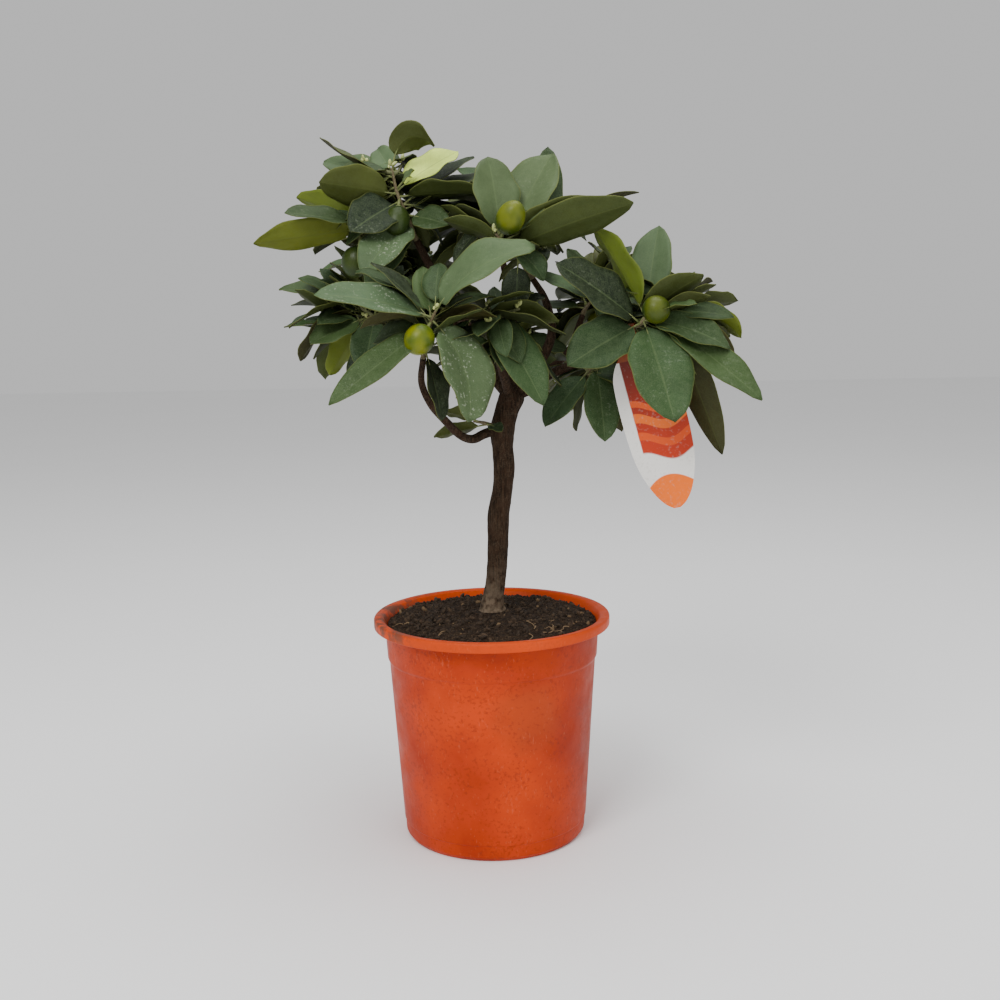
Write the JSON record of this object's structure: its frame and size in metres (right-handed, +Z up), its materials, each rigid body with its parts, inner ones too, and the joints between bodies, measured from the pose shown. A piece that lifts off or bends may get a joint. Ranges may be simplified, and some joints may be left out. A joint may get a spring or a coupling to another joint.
{
  "type": "potted kumquat tree",
  "caption": "Young oval-fruited kumquat tree with a bare brown stem and a spreading leafy crown, in a round orange nursery pot, with a blank hanging plastic label.",
  "frame": {"origin": "middle of the pot's flat underside, on the floor", "axes": "+Z up along the stem, +X to the right in the picture, -Y towards the camera"},
  "size_m": [0.425, 0.3378, 0.6506],
  "materials": {
    "pot_plastic": "scuffed satin orange-red",
    "compost": "dark crumbly fibre",
    "bark": "rough brown bark",
    "foliage": "dusty matte green",
    "label_plastic": "smooth white"
  },
  "bodies": {
    "root": {"pot": "pot_plastic", "soil": "compost", "trunk": "bark", "bough_low_left_lower": "bark", "bough_low_left_upper": "bark", "bough_left": "bark", "bough_left_side": "bark", "bough_centre": "bark", "bough_front": "bark", "bough_right_low": "bark", "bough_right": "bark", "bough_back_left": "bark", "bough_back_right": "bark", "bough_back": "bark", "bough_back_low": "bark", "foliage_top_left": "foliage", "foliage_left": "foliage", "foliage_front_left": "foliage", "foliage_low_left": "foliage", "foliage_centre": "foliage", "foliage_front": "foliage", "foliage_right": "foliage", "foliage_right_low": "foliage", "foliage_back_left": "foliage", "foliage_back_right": "foliage", "foliage_back_top": "foliage", "foliage_back_low": "foliage", "label": "label_plastic"}
  },
  "joints": []
}
